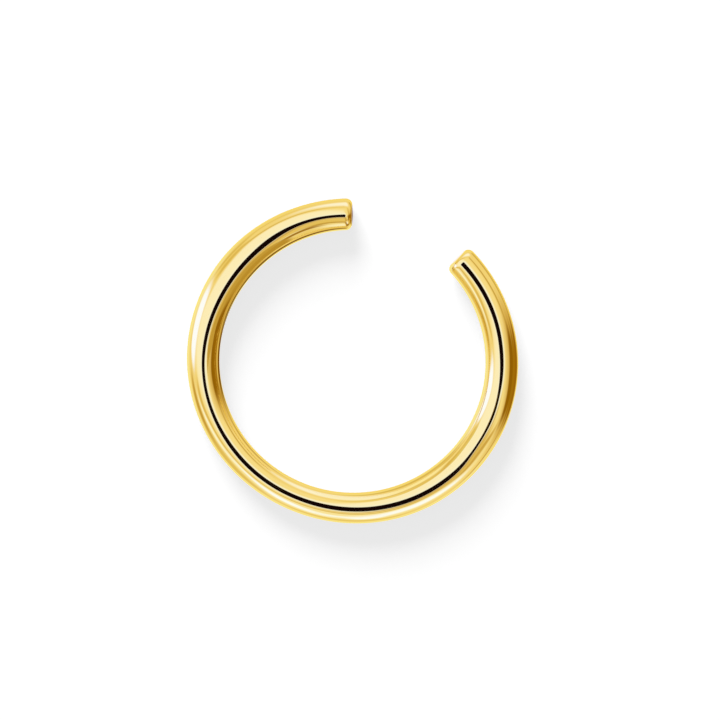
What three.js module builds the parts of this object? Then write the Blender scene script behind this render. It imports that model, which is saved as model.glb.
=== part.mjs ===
// An ear cuff: one length of round wire with rounded ends, bent into an open hoop.
//
// The wire is first a straight turned rod along Y, then it is bent round the hoop's axis,
// which is Z. The cuff lies on its side on z = 0 with its gap towards +Y, and the origin
// is at the middle of the cuff's footprint. Lengths are in millimetres, angles in radians.

import * as THREE from "three";

// Driving sizes.
const HOOP_OUTSIDE = 13.0; // across the hoop along X, from outer edge to outer edge
const WIRE_DIAMETER = 1.25; // the wire's mean diameter
const SIDE_FULLNESS = 0.05; // the sides are this much thicker than the mean, the back this much thinner
const GAP_ANGLE = THREE.MathUtils.degToRad(44.4); // between the two end faces, at the hoop's centre
const END_ROUNDING = 0.26; // radius of the rounded edge round each end face

// Fineness of the facets.
const SIDES_AROUND = 24; // flats round the wire
const STEPS_ALONG = 72; // straight stretches along the wire between its rounded ends
const STEPS_OVER_ROUNDING = 5; // straight stretches over each rounded edge

// Sizes that follow from these.
const WIRE_RADIUS = WIRE_DIAMETER / 2;
const CENTRELINE_RADIUS = (HOOP_OUTSIDE - WIRE_DIAMETER - SIDE_FULLNESS) / 2;
const WIRE_LENGTH = CENTRELINE_RADIUS * (2 * Math.PI - GAP_ANGLE);
const BACK = -Math.PI / 2; // the direction of the wire's middle, seen from the hoop's centre

const gold = new THREE.MeshStandardMaterial({
  name: "gold_plate",
  color: new THREE.Color().setRGB(0.96, 0.76, 0.33, THREE.SRGBColorSpace),
  metalness: 1,
  roughness: 0.06,
});

// Half of the rod's outline, from the axis at one end to the axis at the other: x is the
// distance from the axis and y the place along the rod.
function rodProfile() {
  const shoulder = WIRE_LENGTH / 2 - END_ROUNDING;
  const flat = WIRE_RADIUS - END_ROUNDING;
  const nearRounding = new THREE.EllipseCurve(flat, -shoulder, END_ROUNDING, END_ROUNDING, -Math.PI / 2, 0);
  const farRounding = new THREE.EllipseCurve(flat, shoulder, END_ROUNDING, END_ROUNDING, 0, Math.PI / 2);
  const side = new THREE.LineCurve(
    new THREE.Vector2(WIRE_RADIUS, -shoulder),
    new THREE.Vector2(WIRE_RADIUS, shoulder),
  );
  return [
    new THREE.Vector2(0, -WIRE_LENGTH / 2),
    ...nearRounding.getPoints(STEPS_OVER_ROUNDING),
    ...side.getPoints(STEPS_ALONG).slice(1, -1),
    ...farRounding.getPoints(STEPS_OVER_ROUNDING),
    new THREE.Vector2(0, WIRE_LENGTH / 2),
  ];
}

// How thick the wire is at an angle round the hoop, as a share of its mean thickness:
// fullest at the two sides and lightest at the back and the gap.
function fullness(angle) {
  return 1 + (SIDE_FULLNESS / WIRE_DIAMETER) * Math.cos(2 * angle);
}

// Bends the straight rod round the hoop: a point's place along the rod becomes its angle,
// and its distance across the rod moves it in or out from the centreline, or up and down.
// The underside stays level, so that the whole hoop lies on z = 0.
function bendIntoHoop(rod) {
  const point = new THREE.Vector3();
  const position = rod.getAttribute("position");
  for (let i = 0; i < position.count; i++) {
    point.fromBufferAttribute(position, i);
    const angle = BACK + point.y / CENTRELINE_RADIUS;
    const reach = CENTRELINE_RADIUS + point.x * fullness(angle);
    const height = (WIRE_RADIUS + point.z) * fullness(angle);
    position.setXYZ(i, reach * Math.cos(angle), reach * Math.sin(angle), height);
  }
  rod.computeVertexNormals();
  return rod;
}

const hoop = new THREE.Mesh(bendIntoHoop(new THREE.LatheGeometry(rodProfile(), SIDES_AROUND)), gold);
hoop.name = "hoop";

// The gap leaves the footprint short on that side, so the hoop is moved to centre it.
const footprint = new THREE.Box3().setFromObject(hoop).getCenter(new THREE.Vector3());
hoop.position.set(-footprint.x, -footprint.y, 0);

const cuff = new THREE.Group();
cuff.name = "ear_cuff";
cuff.add(hoop);

export default cuff;
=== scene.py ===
"""The looks of an ear cuff: one polished, gold-plated wire bent into an open hoop, lying on a pale
table.

Lengths are in metres and angles in radians unless a name or a comment says otherwise, in the frame
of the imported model: +Z is up, the table is z = 0, and the hoop's gap is towards +Y. An azimuth is
an angle round +Z from +X, and a fall is an angle from straight up.
"""

import math
from collections import namedtuple

import bpy
import numpy as np
from mathutils import Matrix, Vector


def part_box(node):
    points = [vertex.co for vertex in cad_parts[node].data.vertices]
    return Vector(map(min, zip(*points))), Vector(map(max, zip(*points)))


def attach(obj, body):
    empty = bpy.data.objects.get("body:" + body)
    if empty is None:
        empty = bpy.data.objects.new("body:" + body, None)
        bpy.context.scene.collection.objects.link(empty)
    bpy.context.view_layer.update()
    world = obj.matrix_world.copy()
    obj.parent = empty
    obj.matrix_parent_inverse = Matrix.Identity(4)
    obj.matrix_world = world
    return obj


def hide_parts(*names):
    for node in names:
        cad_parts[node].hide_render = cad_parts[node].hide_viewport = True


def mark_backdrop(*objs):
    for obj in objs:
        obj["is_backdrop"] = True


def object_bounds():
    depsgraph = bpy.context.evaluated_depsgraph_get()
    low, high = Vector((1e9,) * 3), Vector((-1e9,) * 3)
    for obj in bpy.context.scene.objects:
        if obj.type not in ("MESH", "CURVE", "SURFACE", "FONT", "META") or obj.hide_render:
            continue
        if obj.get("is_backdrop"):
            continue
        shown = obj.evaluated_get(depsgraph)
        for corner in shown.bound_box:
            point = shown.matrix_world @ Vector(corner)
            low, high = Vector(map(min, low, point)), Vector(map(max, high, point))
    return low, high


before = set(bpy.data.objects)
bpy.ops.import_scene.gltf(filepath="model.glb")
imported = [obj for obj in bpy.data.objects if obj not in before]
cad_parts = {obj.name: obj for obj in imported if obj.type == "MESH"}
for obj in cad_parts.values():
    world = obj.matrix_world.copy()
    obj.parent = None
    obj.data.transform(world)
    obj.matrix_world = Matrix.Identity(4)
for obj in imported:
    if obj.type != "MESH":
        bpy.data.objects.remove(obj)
cad_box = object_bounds()

MM = 0.001
UP = Vector((0, 0, 1))

# The hoop's sizes. The widths come from the frame; the rest are the wire's own.
low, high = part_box("hoop")
FULLNESS = 0.04  # the wire is fuller by this share at the sides, and lighter at the back and tips
END_ROUNDING = 0.26 * MM
GAP_ANGLE = math.radians(44.4)
SIDE_WIRE = high.z - low.z
WIRE_RADIUS = SIDE_WIRE / 2 / (1 + FULLNESS)
HOOP_RADIUS = (high.x - low.x - SIDE_WIRE) / 2
BACK_TO_CENTRE = HOOP_RADIUS + WIRE_RADIUS * (1 - FULLNESS)
HOOP_CENTRE = np.array([(low.x + high.x) / 2, low.y + BACK_TO_CENTRE, low.z])
WIRE_LENGTH = HOOP_RADIUS * (2 * math.pi - GAP_ANGLE)
BACK = -math.pi / 2  # the azimuth of the middle of the wire's length
STRAIGHT = "straight"  # the attribute with each point's place on the straight rod, along +Z

# How finely the surfaces are drawn.
ROWS_ALONG_SIDE = 620
ROWS_OVER_ROUNDING = 14
ROWS_ON_FACE = 5
COLUMNS_ROUND = 132
TABLE_RINGS = 8
DOME_RINGS = 40
DISC_COLUMNS = 96

# The camera looks down on the hoop, leaning a little towards its gap.
LENS_MM = 200
SENSOR_MM = 36
VIEW_WIDTH = 28.15 * MM  # what it takes in from side to side, at the hoop
LEAN_DEG = 11.4
LEAN_TOWARDS_DEG = 94.0
VIEW_UP_DEG = 112.3  # the azimuth that is up in the view
AIM_RIGHT = 0.305 * MM  # the view's middle, from the hoop's
AIM_UP = 0.08 * MM
NEAREST = 1 * MM  # the camera shows what is between these distances
FARTHEST = 2.0

# The table and what is seen behind it.
STAGE_RADIUS = 0.6
TABLE_GREY = 0.8
PALE = 1.06  # how bright the table is, where nothing shades it

# The lights are far off. Each comes from its own direction, is so many degrees wide, and gives the
# table a share of its brightness. The low one casts the long soft shadow. The rest of the table's
# brightness comes through it from below.
Lamp = namedtuple("Lamp", "name azimuth fall width share")
LAMPS = (
    Lamp("key_light", 130, 65, 34, 0.23),
    Lamp("soft_light", 0, 0, 100, 0.04),
)

# The wire was polished by hand, so its section is slightly oval, and the oval leans one way or the
# other. Each lean is centred on an azimuth, dies away over a width, both in degrees, and has the
# share of the radius by which it swells.
Lean = namedtuple("Lean", "azimuth width swell")
LEANS = (
    Lean(110, 9, -0.026),
    Lean(128, 14, 0.030),
    Lean(168, 26, -0.098),
    Lean(245, 34, -0.026),
    Lean(276, 15, -0.020),
    Lean(322, 16, 0.008),
    Lean(338, 8, 0.012),
    Lean(348, 9, -0.020),
    Lean(5, 12, 0.006),
    Lean(27, 12, -0.014),
    Lean(50, 28, 0.034),
)

# The polish also left low ridges on the wire's crown, one by the left tip. Each has its azimuth and
# its length, the turn round the wire, counted from facing outwards, and its breadth, all in
# degrees, and the share of the radius by which it stands up.
Ridge = namedtuple("Ridge", "azimuth length turn breadth rise")
RIDGES = (
    Ridge(120, 20, 86, 13, 0.030),
    Ridge(352, 10, 92, 13, 0.026),
    Ridge(10, 9, 91, 13, 0.016),
    Ridge(138, 38, 180, 36, 0.045),
    Ridge(312, 30, 0, 36, 0.035),
)

# The gold, and the marks that the cloth left on it. A mark is noise that follows the wire, in
# features so many millimetres wide across it and so many long, with so much finer detail.
GOLD = (0.95, 0.71, 0.19)
GLANCING_TINT = (1.0, 0.84, 0.34)
Mark = namedtuple("Mark", "across along detail")
HAIRLINES = Mark(0.07, 3.0, 3.0)
FLUTES = Mark(0.17, 9.0, 0.0)
WAVES = Mark(0.6, 3.0, 0.0)
HAZE = Mark(0.9, 2.0, 2.0)
CLEAR_ROUGHNESS = 0.015
HAZE_ROUGHNESS = 0.05  # what the haze adds where it is thickest
HAIRLINE_ROUGHNESS = 0.02
WAVE_DEPTH = 0.012 * MM
FLUTE_SHARE = 0.35  # of the waves' depth
HAIRLINE_SHARE = 0.004

# The far studio that the polish shows, in degrees. A band goes all the way round, and reaches up
# and down from its fall by its half size. An oval reaches across and down from its middle by its
# half sizes, and a tilt turns it, its far side in azimuth going down. A spot reaches its radius all
# round. The blur of an edge is in degrees, or in an oval's own size for an oval. Light is linear
# red, green and blue, and a later part covers the earlier ones.
Band = namedtuple("Band", "name fall down blur light")
Oval = namedtuple("Oval", "name azimuth fall across down tilt blur light")
Spot = namedtuple("Spot", "name azimuth fall radius blur light")
WALLS = (0.94, 0.91, 0.92)
BLACK = (0.006, 0.002, 0.004)
WHITE = (1.04, 1.38, 4.4)
BROWN = (0.77, 0.66, 0.44)
STUDIO = (
    Band("table", 180, 50, 24, (0.97, 1.00, 1.25)),
    Oval("table_front", 255, 148, 60, 34, 0, 1.0, (1.01, 1.18, 2.2)),
    Band("ceiling", 0, 54, 16, (0.98, 1.0, 1.2)),
    Oval("main_softbox", 172, 34, 33, 40, 0, 0.4, (1.03, 1.18, 2.4)),
    Oval("front_glow", 285, 64, 50, 26, 0, 0.8, (1.0, 1.08, 1.6)),
    Oval("dim_front", 246, 92, 17, 20, 0, 1.0, (0.80, 0.72, 0.52)),
    Oval("dim_middle", 286, 97, 18, 9, 0, 1.0, (0.86, 0.80, 0.62)),
    Oval("dim_side", 10, 92, 28, 50, 0, 0.8, (0.66, 0.51, 0.27)),
    Oval("side_rail", 336, 101, 12, 5, 0, 1.0, (0.58, 0.42, 0.16)),
    Oval("tail_high", 46, 68, 22, 6, 0, 1.0, (0.64, 0.50, 0.26)),
    Oval("tail_low", 46, 126, 24, 10, 0, 1.0, (0.66, 0.53, 0.30)),
    Oval("arch_left", 243, 45, 12, 4.5, -41, 1.0, BROWN),
    Oval("arch_top", 273, 38, 15, 3.5, 5, 1.0, BROWN),
    Oval("arch_near_arm", 312, 25, 15, 7, 0, 1.0, (0.58, 0.43, 0.16)),
    Oval("arch_turn", 305, 39, 11, 5, -5, 1.0, (0.76, 0.65, 0.42)),
    Oval("arch_under", 327, 37, 10, 5, 30, 1.0, (0.78, 0.66, 0.40)),
    Oval("arch_right", 332, 50, 14, 5, 34, 1.0, (0.66, 0.52, 0.28)),
    Oval("corner_high", 230, 54, 6, 7, 0, 1.0, BROWN),
    Oval("corner", 229, 89, 12, 11, -6, 1.0, (0.60, 0.45, 0.19)),
    Oval("brown_edge", 171, 94, 7, 18, 0, 1.0, (0.88, 0.82, 0.66)),
    Oval("brown_knot_high", 172, 86, 8, 5, 0, 1.0, (0.76, 0.65, 0.42)),
    Oval("brown_knot_low", 170, 106, 9, 6, 0, 1.0, (0.74, 0.63, 0.40)),
    Oval("brown_tail", 156, 111, 20, 4, -5, 1.0, (0.84, 0.77, 0.57)),
    Oval("brown_arc", 150, 74, 30, 4, 27, 1.0, BROWN),
    Oval("back_softbox", 106, 90, 32, 17, 0, 1.0, (1.04, 1.24, 3.0)),
    Oval("left_softbox", 199, 83, 12, 27, 27, 0.5, (1.04, 1.38, 4.8)),
    Oval("front_cream", 243, 61, 15, 5, -22, 1.0, (1.03, 1.25, 2.8)),
    Oval("front_white_left", 268, 63, 7, 17, -38, 1.0, WHITE),
    Oval("front_white_middle", 285, 67, 10, 6, 0, 1.0, (1.03, 1.32, 3.6)),
    Oval("front_white_right", 308, 64, 17, 12, 18, 1.0, WHITE),
    Oval("front_white_low", 292, 74, 6, 7, 0, 1.0, WHITE),
    Oval("dark_side_low", 7, 119, 19, 18, 0, 0.6, (0.34, 0.18, 0.01)),
    Oval("dark_side_high", 8, 74, 19, 16, 0, 0.6, (0.30, 0.16, 0.005)),
    Oval("dark_side", 8, 96, 20, 13, 0, 0.6, (0.37, 0.21, 0.012)),
    Spot("glow_round_lens", 85, 3, 26, 12, (1.0, 1.2, 2.8)),
    Spot("arm", 300, 15.0, 7.6, 2, BLACK),
    Spot("lens", 274, 0.5, 15.3, 2, BLACK),
)

# The near things that the polish shows: upright cards inside the hoop, with brown, tan and pale
# panes, and a sheet on the table with brown, tan and pale arcs of painted shade. The left arcs
# stand for the table's shadow inside the hoop, which the polish would otherwise not show, and the
# right one darkens the reflection there. Nothing else sees them, and they show only on the side
# that they face. A card stands its reach away from the hoop's axis, in millimetres, and faces back
# across it.
# Its panes have their middles and half sizes to the left, as the card is faced, and up from the
# table, and a blur, all in millimetres. The sheet's arcs have an azimuth and a half length in
# degrees, a radius and a half width in millimetres, and an oval's blur.
Card = namedtuple("Card", "name faces reach panes")
Pane = namedtuple("Pane", "name left up half_width half_height blur light")
Arc = namedtuple("Arc", "name azimuth radius half_length half_width blur light")
CARD_WIDTH = 9 * MM
CARD_HEIGHT = 32 * MM
CARDS = (
    Card("back_card", 128, 4.28, (
        Pane("gilt", -1.5, 6.9, 0.8, 1.6, 1.2, (0.93, 0.94, 1.05)),
        Pane("pale", -1.5, 4.0, 0.8, 1.3, 1.2, (1.03, 1.18, 2.2)),
        Pane("tan", -1.2, 13.6, 2.0, 3.0, 1.2, (0.82, 0.73, 0.53)),
        Pane("strip", -1.9, 9.7, 1.1, 1.3, 0.9, (0.62, 0.48, 0.22)),
        Pane("strip_end", -0.4, 7.4, 0.85, 1.9, 0.9, (0.42, 0.27, 0.04)),
        Pane("fade", -0.35, 3.4, 0.9, 2.0, 1.2, (0.90, 0.85, 0.72)),
        Pane("middle", 1.4, 11.5, 1.45, 5.0, 0.25, (0.58, 0.44, 0.18)),
        Pane("low", 1.4, 3.6, 1.45, 3.3, 0.25, (0.52, 0.37, 0.12)),
        Pane("dark", 2.2, 3.6, 0.65, 3.2, 0.5, (0.30, 0.16, 0.01)),
    )),
    Card("front_card", 318, 2.0, (
        Pane("cream", -0.2, 1.6, 1.2, 1.9, 0.9, (1.03, 1.20, 2.5)),
        Pane("gilt", 2.7, 1.4, 1.3, 1.8, 0.9, (0.96, 0.94, 1.0)),
        Pane("pale", 1.4, 1.4, 0.8, 1.8, 0.9, (1.04, 1.13, 1.6)),
        Pane("streak_start", 0.9, 5.9, 1.5, 1.2, 0.9, (0.90, 0.86, 0.78)),
        Pane("streak", 2.0, 5.1, 0.8, 1.4, 0.9, (0.80, 0.72, 0.52)),
        Pane("streak_dark", 2.9, 4.2, 0.7, 1.6, 0.9, (0.73, 0.60, 0.34)),
        Pane("streak_end", 3.5, 5.3, 0.6, 1.4, 0.9, (0.79, 0.74, 0.50)),
    )),
    Card("side_card", 183, 4.9, (
        Pane("dark", -0.6, 1.5, 1.7, 1.3, 1.4, (0.32, 0.17, 0.01)),
    )),
)
# A sheet on the table that only the polish sees. Its arcs are painted shade in the reflection, and
# the left ones stand for the table's shadow inside the hoop.
SHADE_SHEET_RADIUS = 7 * MM
SHADE_SHEET_HEIGHT = 0.03 * MM
SHADE_SHEET_ARCS = (
    Arc("left", 158, 2.7, 62, 1.6, 0.6, (0.66, 0.52, 0.27)),
    Arc("left_pale", 206, 3.6, 16, 0.45, 0.9, (0.86, 0.76, 0.55)),
    Arc("left_line_start", 143, 3.15, 26, 0.65, 0.9, (0.12, 0.04, 0.0)),
    Arc("left_line", 172, 3.9, 24, 0.45, 0.9, (0.10, 0.03, 0.0)),
    Arc("left_line_end", 201, 4.68, 24, 0.3, 0.9, (0.16, 0.07, 0.0)),
    Arc("right", 316, 3.7, 26, 0.5, 0.9, (0.74, 0.64, 0.40)),
    Arc("by_left_tip", 109.3, 5.72, 2.8, 0.5, 0.5, (0.20, 0.09, 0.0)),
)


def wire_radius(place):
    """The wire's radius at an azimuth: the mean radius times one plus FULLNESS times the cosine of
    twice the azimuth, which is fullest at the two sides and lightest at the back and the tips."""
    return WIRE_RADIUS * (1 + FULLNESS * np.cos(2 * place))


def bell(angle, middle_deg, width_deg):
    """A bell over an angle, 1 at its middle: e to the power of minus the square of the distance
    from there over the width."""
    off = (np.degrees(angle) - middle_deg + 180) % 360 - 180
    return np.exp(-((off / width_deg) ** 2))


def section(place, turn):
    """The wire's radius at a turn round its section, as a share of its mean there. A lean adds its
    swell times a bell over the azimuth times the sine of twice the turn, so that the section swells
    at 45 degrees up from facing outwards and shrinks as much at 45 degrees up from facing inwards.
    A ridge adds its rise times a bell over the azimuth times a bell over the turn."""
    share = np.ones(np.broadcast(place, turn).shape)
    for lean in LEANS:
        share += lean.swell * bell(place, lean.azimuth, lean.width) * np.sin(2 * turn)
    for ridge in RIDGES:
        along = bell(place, ridge.azimuth, ridge.length)
        share += ridge.rise * along * bell(turn, ridge.turn, ridge.breadth)
    return share


def rod_outline():
    """Half the straight rod's outline, as distance from the axis and place along it, without the
    two points on the axis. Each end is a flat face, then a quarter circle of END_ROUNDING; the side
    joins them at full radius."""
    flat = WIRE_RADIUS - END_ROUNDING
    shoulder = WIRE_LENGTH / 2 - END_ROUNDING
    turn = np.linspace(0, math.pi / 2, ROWS_OVER_ROUNDING)
    face = np.linspace(0, flat, ROWS_ON_FACE + 2)[1:-1]
    side = np.linspace(-shoulder, shoulder, ROWS_ALONG_SIDE)[1:-1]
    end_out = np.concatenate([face, flat + END_ROUNDING * np.sin(turn)])
    end_rise = np.concatenate([np.full(face.shape, END_ROUNDING), END_ROUNDING * np.cos(turn)])
    end_along = end_rise + shoulder
    out = np.concatenate([end_out, np.full(side.shape, WIRE_RADIUS), end_out[::-1]])
    along = np.concatenate([-end_along, side, end_along[::-1]])
    return out, along


def bend(out, along, turn):
    """Bends the straight rod round the hoop. A point at a distance out from the rod's axis, turned
    round it by turn from facing outwards, goes to the azimuth BACK plus along over the hoop's
    radius. It stands out times the cosine of turn beyond the centreline, and out times the sine
    above the wire's middle, both scaled by the wire's fullness and by the shape of its section."""
    place = BACK + along / HOOP_RADIUS
    scale = wire_radius(place) / WIRE_RADIUS * section(place, turn)
    reach = HOOP_RADIUS + out * scale * np.cos(turn)
    height = wire_radius(place) + out * scale * np.sin(turn)
    points = np.broadcast_arrays(reach * np.cos(place), reach * np.sin(place), height)
    return np.stack(points, axis=-1) + HOOP_CENTRE


def grid_faces(rows, columns):
    """The faces of a grid that closes on itself across its columns: its quads, and a fan of
    triangles at each end, to a pole each. The start's pole is the vertex after the grid's last,
    and the end's pole the one after that."""
    row, column = np.meshgrid(np.arange(rows - 1), np.arange(columns), indexing="ij")
    here, there = row * columns, (row + 1) * columns
    after = (column + 1) % columns
    quads = np.stack([here + column, there + column, there + after, here + after], axis=-1)
    column = np.arange(columns)
    after = (column + 1) % columns
    last = (rows - 1) * columns
    pole = np.full(columns, rows * columns)
    start_fan = np.stack([pole, column, after], axis=-1)
    end_fan = np.stack([pole + 1, last + after, last + column], axis=-1)
    return quads.reshape(-1, 4).tolist(), start_fan.tolist(), end_fan.tolist()


def add_object(name, data):
    """A new object of this name, in the scene."""
    thing = bpy.data.objects.new(name, data)
    bpy.context.scene.collection.objects.link(thing)
    return thing


def make_hoop():
    """The hoop's surface: the outline at every turn round the rod, bent, with a pole in the middle
    of each tip. Each point also keeps its place on the straight rod: its distance from the axis
    times the cosine and the sine of its turn, and its place along the rod."""
    out, along = (values[:, None] for values in rod_outline())
    turn = np.linspace(0, 2 * math.pi, COLUMNS_ROUND, endpoint=False) - math.pi / 2
    tips = np.array([-WIRE_LENGTH, WIRE_LENGTH]) / 2
    sides = bend(out, along, turn).reshape(-1, 3)
    poles = bend(np.zeros(2), tips, np.zeros(2))
    quads, start_fan, end_fan = grid_faces(len(out), COLUMNS_ROUND)
    mesh = bpy.data.meshes.new("gold_hoop")
    mesh.from_pydata(np.concatenate([sides, poles]).tolist(), [], quads + start_fan + end_fan)
    mesh.polygons.foreach_set("use_smooth", np.ones(len(mesh.polygons), dtype=bool))
    rod = np.broadcast_arrays(out * np.cos(turn), out * np.sin(turn), along)
    rod_sides = np.stack(rod, axis=-1).reshape(-1, 3)
    rod_poles = np.stack([np.zeros(2), np.zeros(2), tips], axis=-1)
    places = np.concatenate([rod_sides, rod_poles]).astype(np.float32)
    straight = mesh.attributes.new(STRAIGHT, "FLOAT_VECTOR", "POINT")
    straight.data.foreach_set("vector", places.ravel())
    mesh.update()
    return add_object("gold_hoop", mesh)


def put(tree, socket, value):
    """Links an output to a socket, or sets the socket to a plain value."""
    if isinstance(value, bpy.types.NodeSocket):
        tree.links.new(value, socket)
    else:
        socket.default_value = value


def set_sockets(node, values):
    """Sets a node's sockets, each found by its name, to plain values."""
    for name, value in values.items():
        node.inputs[name].default_value = value


def calc(tree, operation, *values):
    """The output of a Math node on the values, which are numbers or outputs."""
    node = tree.nodes.new("ShaderNodeMath")
    node.operation = operation
    for socket, value in zip(node.inputs, values):
        put(tree, socket, value)
    return node.outputs[0]


def within(tree, offset, reach, blur):
    """1 where an offset, of either sign, is under the reach, 0 where it is over, and smooth across
    the blur."""
    node = tree.nodes.new("ShaderNodeMapRange")
    node.interpolation_type = "SMOOTHSTEP"
    put(tree, node.inputs["Value"], calc(tree, "ABSOLUTE", offset))
    outer, inner = reach + blur / 2, reach - blur / 2
    set_sockets(node, {"From Min": outer, "From Max": inner, "To Min": 0.0, "To Max": 1.0})
    return node.outputs["Result"]


def mix(tree, share, under, over):
    """The colour over laid on the colour under, as far as share says."""
    node = tree.nodes.new("ShaderNodeMix")
    node.data_type = "RGBA"
    put(tree, node.inputs["Factor"], share)
    colours = [socket for socket in node.inputs if socket.type == "RGBA"]
    put(tree, colours[0], under)
    put(tree, colours[1], over)
    return next(socket for socket in node.outputs if socket.type == "RGBA")


def root_of_squares(tree, first, second):
    """The root of the sum of two outputs' squares."""
    sizes = [calc(tree, "ABSOLUTE", value) for value in (first, second)]
    squares = [calc(tree, "POWER", size, 2.0) for size in sizes]
    return calc(tree, "SQRT", calc(tree, "ADD", *squares))


def towards(azimuth_deg, fall_deg):
    """The unit vector in a direction: the sine of the fall times the cosine and the sine of the
    azimuth, and the cosine of the fall."""
    azimuth, fall = math.radians(azimuth_deg), math.radians(fall_deg)
    level = math.sin(fall)
    return Vector((level * math.cos(azimuth), level * math.sin(azimuth), math.cos(fall)))


def dot(tree, direction, axis):
    """The output of a Vector Math node with the dot product of an output and a plain vector."""
    node = tree.nodes.new("ShaderNodeVectorMath")
    node.operation = "DOT_PRODUCT"
    tree.links.new(direction, node.inputs[0])
    node.inputs[1].default_value = axis
    return node.outputs["Value"]


def angle_from(tree, direction, axis):
    """The angle in degrees between a direction and an axis: the arc cosine of their dot product."""
    return calc(tree, "DEGREES", calc(tree, "ARCCOSINE", dot(tree, direction, axis)))


def oval_reach(tree, direction, oval):
    """How far out a direction is in an oval, 1 on its edge: its angles from the oval's middle along
    the two axes, each over that half size, squared and summed, and the root of that."""
    middle = towards(oval.azimuth, oval.fall)
    side = towards(oval.azimuth + 90, 90)
    down = side.cross(middle)
    tilt = math.radians(oval.tilt)
    tilted_side = side * math.cos(tilt) + down * math.sin(tilt)
    tilted_down = down * math.cos(tilt) - side * math.sin(tilt)
    ahead = dot(tree, direction, middle)
    reaches = []
    for axis, half_size in ((tilted_side, oval.across), (tilted_down, oval.down)):
        angle = calc(tree, "ARCTAN2", dot(tree, direction, axis), ahead)
        reaches.append(calc(tree, "DIVIDE", angle, math.radians(half_size)))
    return root_of_squares(tree, *reaches)


def streaks(tree, mark):
    """Noise from 0 to 1 that follows the wire: the place on the straight rod over the mark's
    width, and along the rod over the mark's length."""
    place = tree.nodes.new("ShaderNodeAttribute")
    place.attribute_name = STRAIGHT
    stretch = tree.nodes.new("ShaderNodeVectorMath")
    stretch.operation = "MULTIPLY"
    tree.links.new(place.outputs["Vector"], stretch.inputs[0])
    stretch.inputs[1].default_value = (1, 1, mark.across / mark.along)
    noise = tree.nodes.new("ShaderNodeTexNoise")
    tree.links.new(stretch.outputs["Vector"], noise.inputs["Vector"])
    set_sockets(noise, {"Scale": 1 / (mark.across * MM), "Detail": mark.detail})
    return noise.outputs["Fac"]


def gold_plate():
    """Yellow gold plate polished to a mirror: faint hairlines and long shallow flutes from the
    cloth, a slow waviness, and a patchy haze. Haze and hairlines add to the clear roughness, and
    flutes and hairlines to the depth of the waves, each times its own share."""
    material = bpy.data.materials.new("gold_plate")
    material.use_nodes = True
    tree = material.node_tree
    shader = tree.nodes["Principled BSDF"]
    set_sockets(shader, {
        "Metallic": 1.0,
        "Base Color": (*GOLD, 1),
        "Specular Tint": (*GLANCING_TINT, 1),
    })
    hairlines, flutes, waves, haze = (
        streaks(tree, mark) for mark in (HAIRLINES, FLUTES, WAVES, HAZE)
    )
    roughness = calc(tree, "MULTIPLY_ADD", haze, HAZE_ROUGHNESS, CLEAR_ROUGHNESS)
    roughness = calc(tree, "MULTIPLY_ADD", hairlines, HAIRLINE_ROUGHNESS, roughness)
    tree.links.new(roughness, shader.inputs["Roughness"])
    depth = calc(tree, "MULTIPLY_ADD", hairlines, HAIRLINE_SHARE, waves)
    depth = calc(tree, "MULTIPLY_ADD", flutes, FLUTE_SHARE, depth)
    bump = tree.nodes.new("ShaderNodeBump")
    bump.invert = True  # the marks are pressed in
    bump.inputs["Distance"].default_value = WAVE_DEPTH
    tree.links.new(depth, bump.inputs["Height"])
    tree.links.new(bump.outputs["Normal"], shader.inputs["Normal"])
    return material


def make_studio():
    """The world that only the polish sees: plain walls with the STUDIO's parts laid over them."""
    world = bpy.data.worlds.new("studio")
    bpy.context.scene.world = world
    world.use_nodes = True
    tree = world.node_tree
    direction = tree.nodes.new("ShaderNodeTexCoord").outputs["Generated"]
    fall = angle_from(tree, direction, UP)
    colour = (*WALLS, 1)
    for part in STUDIO:
        if isinstance(part, Band):
            share = within(tree, calc(tree, "SUBTRACT", fall, part.fall), part.down, part.blur)
        elif isinstance(part, Oval):
            share = within(tree, oval_reach(tree, direction, part), 1.0, part.blur)
        else:
            angle = angle_from(tree, direction, towards(part.azimuth, part.fall))
            share = within(tree, angle, part.radius, part.blur)
        colour = mix(tree, share, colour, (*part.light, 1))
    tree.links.new(colour, tree.nodes["Background"].inputs["Color"])
    seen_by = world.cycles_visibility
    seen_by.camera = seen_by.diffuse = seen_by.transmission = seen_by.scatter = False


def disc_mesh(name, reach, height):
    """A round sheet about the Z axis. Its middle is at the first height. Each reach after the first
    has a ring of points at its own height, at the reach times the cosine and the sine of their
    turn."""
    turn = np.linspace(0, 2 * math.pi, DISC_COLUMNS, endpoint=False)
    ring, rise = reach[1:, None], height[1:, None]
    points = np.broadcast_arrays(ring * np.cos(turn), ring * np.sin(turn), rise)
    vertices = np.concatenate([np.stack(points, axis=-1).reshape(-1, 3), [(0, 0, height[0])]])
    quads, start_fan, _ = grid_faces(len(ring), DISC_COLUMNS)
    mesh = bpy.data.meshes.new(name)
    mesh.from_pydata(vertices.tolist(), [], quads + start_fan)
    mesh.update()
    return mesh


def glow(name, light):
    """A material that shines with this light, and the node tree and output of its emission."""
    material = bpy.data.materials.new(name)
    material.use_nodes = True
    tree = material.node_tree
    tree.nodes.remove(tree.nodes["Principled BSDF"])
    emission = tree.nodes.new("ShaderNodeEmission")
    emission.inputs["Color"].default_value = (*light, 1)
    tree.links.new(emission.outputs[0], tree.nodes["Material Output"].inputs["Surface"])
    return material, tree, emission.outputs[0]


def seen_only_by(thing, **kinds):
    """Hides a thing from every kind of ray but the named ones."""
    for kind in ("camera", "diffuse", "glossy", "transmission", "volume_scatter", "shadow"):
        setattr(thing, "visible_" + kind, kinds.get(kind, False))


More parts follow.
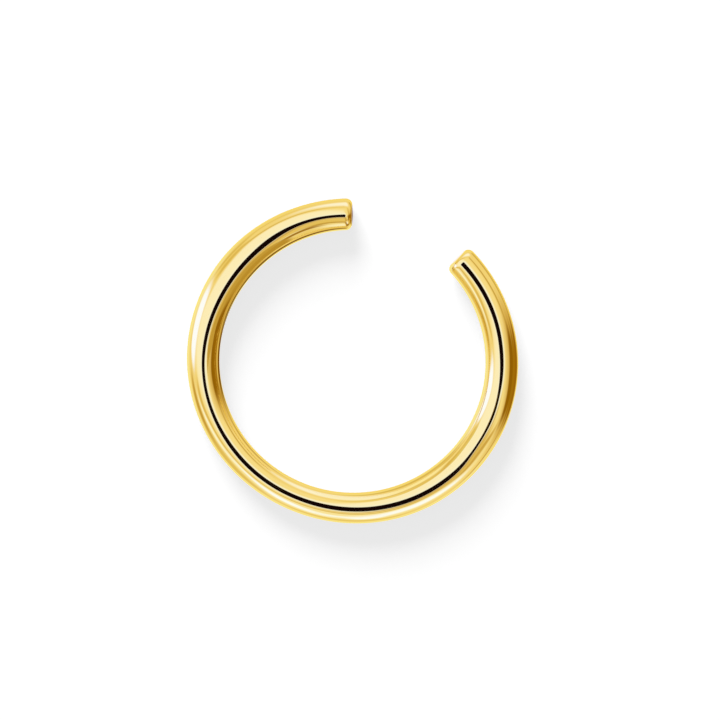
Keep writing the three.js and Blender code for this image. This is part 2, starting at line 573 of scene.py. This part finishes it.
def make_table():
    """A pale table, lit from below by what the lamps don't give."""
    reach = np.linspace(0, STAGE_RADIUS, TABLE_RINGS + 1)
    table = add_object("table", disc_mesh("table", reach, np.zeros(reach.shape)))
    paint = bpy.data.materials.new("pale_table")
    paint.use_nodes = True
    set_sockets(paint.node_tree.nodes["Principled BSDF"], {
        "Base Color": (TABLE_GREY, TABLE_GREY, TABLE_GREY, 1),
        "Roughness": 1.0,
        "Specular IOR Level": 0.0,
        "Emission Color": (1, 1, 1, 1),
        "Emission Strength": PALE * (1 - sum(lamp.share for lamp in LAMPS)),
    })
    table.data.materials.append(paint)
    seen_only_by(table, camera=True, shadow=True)
    return table


def make_backdrop():
    """A dome over the table, as bright as it. Its height is the root of the stage's radius squared
    less the reach squared."""
    reach = np.linspace(0, STAGE_RADIUS, DOME_RINGS + 1)
    height = np.sqrt(STAGE_RADIUS**2 - reach**2)
    dome = add_object("backdrop", disc_mesh("backdrop", reach, height))
    dome.data.materials.append(glow("pale_backdrop", (PALE, PALE, PALE))[0])
    seen_only_by(dome, camera=True)
    return dome


def glimpsed(name, mesh, parts):
    """Makes a thing that only the polish sees, and only from the front. It is clear but for its
    parts, which are pairs of a share and a light, and a later part covers the earlier ones: what
    shows through is the product of one minus each share."""
    material, tree, shine = glow(name, (0, 0, 0))
    backfacing = tree.nodes.new("ShaderNodeNewGeometry").outputs["Backfacing"]
    front = calc(tree, "SUBTRACT", 1.0, backfacing)
    colour, clearness = (0, 0, 0, 1), 1.0
    for share, light in parts(tree):
        share = calc(tree, "MULTIPLY", share, front)
        colour = mix(tree, share, colour, (*light, 1))
        clearness = calc(tree, "MULTIPLY", clearness, calc(tree, "SUBTRACT", 1.0, share))
    tree.links.new(colour, shine.node.inputs["Color"])
    clear = tree.nodes.new("ShaderNodeBsdfTransparent")
    tree.links.new(clearness, clear.inputs["Color"])
    both = tree.nodes.new("ShaderNodeAddShader")
    tree.links.new(shine, both.inputs[0])
    tree.links.new(clear.outputs[0], both.inputs[1])
    tree.links.new(both.outputs[0], tree.nodes["Material Output"].inputs["Surface"])
    mesh.materials.append(material)
    thing = add_object(name, mesh)
    thing.location = HOOP_CENTRE
    seen_only_by(thing, glossy=True)
    return thing


def make_card(card):
    """An upright card inside the hoop that shows only its panes: one flat sheet, half its width to
    each side of its foot, and its height up."""
    facing = towards(card.faces, 90)
    left = facing.cross(UP)
    foot = facing * -card.reach * MM
    to_left, to_top = left * (CARD_WIDTH / 2), UP * CARD_HEIGHT
    corners = [foot + to_left, foot - to_left, foot - to_left + to_top, foot + to_left + to_top]
    mesh = bpy.data.meshes.new(card.name)
    mesh.from_pydata(corners, [], [(0, 1, 2, 3)])

    def panes(tree):
        place = tree.nodes.new("ShaderNodeTexCoord").outputs["Object"]
        across = calc(tree, "DIVIDE", dot(tree, place, left), MM)
        up = calc(tree, "DIVIDE", dot(tree, place, UP), MM)
        for pane in card.panes:
            aside = calc(tree, "SUBTRACT", across, pane.left)
            above = calc(tree, "SUBTRACT", up, pane.up)
            width_share = within(tree, aside, pane.half_width, pane.blur)
            height_share = within(tree, above, pane.half_height, pane.blur)
            yield calc(tree, "MULTIPLY", width_share, height_share), pane.light

    return glimpsed(card.name, mesh, panes)


def make_shade_sheet():
    """The round sheet on the table, which shows only its arcs of painted shade. The left ones stand
    for the table's shadow inside the hoop, as the polish would show it. An arc's edge is where two
    shares, squared and summed, come to 1: the angle from its middle over its half length, and the
    distance from its radius over its half width."""
    reach = np.array([0, SHADE_SHEET_RADIUS])
    mesh = disc_mesh("shade_sheet", reach, np.full(reach.shape, SHADE_SHEET_HEIGHT))

    def arcs(tree):
        place = tree.nodes.new("ShaderNodeTexCoord").outputs["Object"]
        length = tree.nodes.new("ShaderNodeVectorMath")
        length.operation = "LENGTH"
        tree.links.new(place, length.inputs[0])
        radius = calc(tree, "DIVIDE", length.outputs["Value"], MM)
        for arc in SHADE_SHEET_ARCS:
            ahead = dot(tree, place, towards(arc.azimuth, 90))
            aside = dot(tree, place, towards(arc.azimuth + 90, 90))
            angle = calc(tree, "ARCTAN2", aside, ahead)
            off = calc(tree, "SUBTRACT", radius, arc.radius)
            angle_share = calc(tree, "DIVIDE", angle, math.radians(arc.half_length))
            off_share = calc(tree, "DIVIDE", off, arc.half_width)
            how_far_out = root_of_squares(tree, angle_share, off_share)
            yield within(tree, how_far_out, 1.0, arc.blur), arc.light

    return glimpsed("shade_sheet", mesh, arcs)


def make_lamp(lamp):
    """A broad, distant light that the polish doesn't show. Its strength is the brightness that it
    gives the table, times pi, over the table's grey and over the cosine of its own fall."""
    light = bpy.data.lights.new(lamp.name, "SUN")
    light.angle = math.radians(lamp.width)
    light.energy = lamp.share * PALE * math.pi / TABLE_GREY / math.cos(math.radians(lamp.fall))
    thing = add_object(lamp.name, light)
    thing.rotation_euler = towards(lamp.azimuth, lamp.fall).to_track_quat("Z", "Y").to_euler()
    thing.visible_glossy = False


def make_camera():
    """The camera above the hoop. It leans from straight up, the view's up points as nearly as it
    can to the azimuth VIEW_UP_DEG, and the camera stands the view's width times the lens over the
    sensor away."""
    back = towards(LEAN_TOWARDS_DEG, LEAN_DEG)
    level = towards(VIEW_UP_DEG, 90)
    up = (level - back * level.dot(back)).normalized()
    right = up.cross(back)
    middle = Vector(HOOP_CENTRE) + UP * WIRE_RADIUS
    aim = middle + right * AIM_RIGHT + up * AIM_UP
    data = bpy.data.cameras.new("camera")
    data.lens, data.sensor_width = LENS_MM, SENSOR_MM
    data.clip_start, data.clip_end = NEAREST, FARTHEST
    camera = add_object("camera", data)
    distance = VIEW_WIDTH * LENS_MM / SENSOR_MM
    turn = Matrix((right, up, back)).transposed()
    camera.matrix_world = Matrix.Translation(aim + back * distance) @ turn.to_4x4()
    bpy.context.scene.camera = camera


def show_cleanly():
    """Plain colours, and no light gathered by the polish, which would only be noise."""
    scene = bpy.context.scene
    scene.view_settings.view_transform = "Standard"
    scene.cycles.caustics_reflective = False
    scene.cycles.caustics_refractive = False


make_camera()
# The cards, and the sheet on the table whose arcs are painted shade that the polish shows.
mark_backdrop(make_table(), make_backdrop(), make_shade_sheet(), *[make_card(card) for card in CARDS])
make_studio()
for lamp in LAMPS:
    make_lamp(lamp)
show_cleanly()

hoop = make_hoop()
hoop.data.materials.append(gold_plate())
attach(hoop, "root")
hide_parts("hoop")

boxes = {"cad": cad_box, "visual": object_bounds()}
{name: [list(corner) for corner in box] for name, box in boxes.items()}
